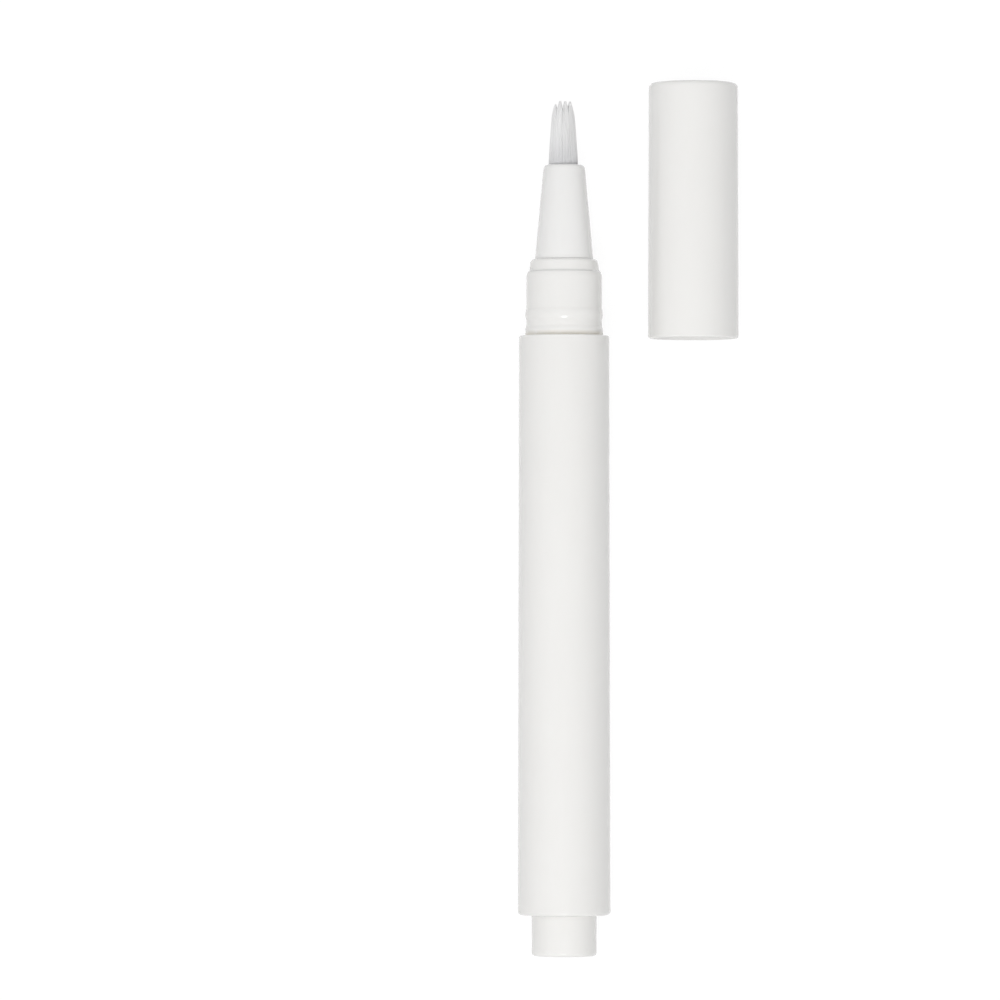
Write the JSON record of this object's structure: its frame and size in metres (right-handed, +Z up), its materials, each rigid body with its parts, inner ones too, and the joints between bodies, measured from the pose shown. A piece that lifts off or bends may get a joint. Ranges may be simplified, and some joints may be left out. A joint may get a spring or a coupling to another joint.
{
  "type": "click brush pen",
  "caption": "White click brush pen for cuticle oil with its cap off beside it; a push of the end button turns a ratchet and screw that feed oil to the brush.",
  "frame": {"origin": "centre of the barrel's mouth, on the rim where the cap lands", "axes": "+Y along the pen's axis from the button to the brush, +Z up from the surface that pen and cap lie on, +X towards the cap"},
  "size_m": [0.0318, 0.1257, 0.0134],
  "materials": {
    "shell_white": "satin moulded white, warm, with a soft gloss",
    "nozzle_natural": "slightly translucent milky polypropylene",
    "bristle_nylon": "fine pale grey nylon bristles",
    "tube_clear": "translucent thin tube",
    "works_white": "moulded acetal, unpolished",
    "works_grey": "moulded acetal, grey",
    "piston_natural": "waxy natural polyethylene",
    "seal_rubber": "black rubber",
    "spring_steel": "drawn spring wire",
    "liner_natural": "milky polyethylene"
  },
  "bodies": {
    "barrel": {"barrel": "shell_white", "collar": "shell_white", "nozzle_ring": "shell_white", "nozzle": "nozzle_natural", "brush_ferrule": "works_white", "brush_tuft": "bristle_nylon", "feed_tube": "tube_clear", "drive_nut": "works_white", "check_pawls": "works_grey", "spring_seat": "works_white", "return_spring": "spring_steel"},
    "button": {"button": "shell_white"},
    "cam_rotor": {"cam_rotor": "works_white", "drive_pawls": "works_grey"},
    "drive_sleeve": {"drive_sleeve": "works_grey"},
    "piston": {"piston": "piston_natural", "piston_seal": "seal_rubber"},
    "feed_screw": {"feed_screw": "works_white"},
    "cap": {"cap_shell": "shell_white", "cap_liner": "liner_natural"}
  },
  "joints": [
    {"name": "button_press", "type": "slide", "parent": "barrel", "child": "button", "axis": [0, 1, 0], "range_m": [0, 0.003], "stiffness_N_per_m": 270, "springref_m": -0.005, "deforming": ["return_spring"]},
    {"name": "cam_turn", "type": "hinge", "parent": "barrel", "child": "cam_rotor", "pos_m": [0, -0.06, 0], "axis": [0, 1, 0], "range_deg": [0, 30.1]},
    {"name": "feed_turn", "type": "hinge", "parent": "barrel", "child": "drive_sleeve", "pos_m": [0, -0.06, 0], "axis": [0, 1, 0], "range_deg": [0, 3751], "deforming": ["drive_pawls", "check_pawls"]},
    {"name": "piston_feed", "type": "slide", "parent": "barrel", "child": "piston", "axis": [0, 1, 0], "range_m": [0, 0.03125]},
    {"name": "screw_turn", "type": "hinge", "parent": "piston", "child": "feed_screw", "pos_m": [0, -0.06, 0], "axis": [0, 1, 0], "range_deg": [0, 3751]},
    {"name": "cap_pull", "type": "slide", "parent": "barrel", "child": "cap", "axis": [0, 1, 0], "range_m": [0, 0.037]}
  ],
  "couplings": [
    {"joint": "cam_turn", "follows": "button_press", "rad_per_m": 174.53},
    {"joint": "feed_turn", "follows": "piston_feed", "rad_per_m": 2094.4},
    {"joint": "screw_turn", "follows": "piston_feed", "rad_per_m": 2094.4}
  ]
}
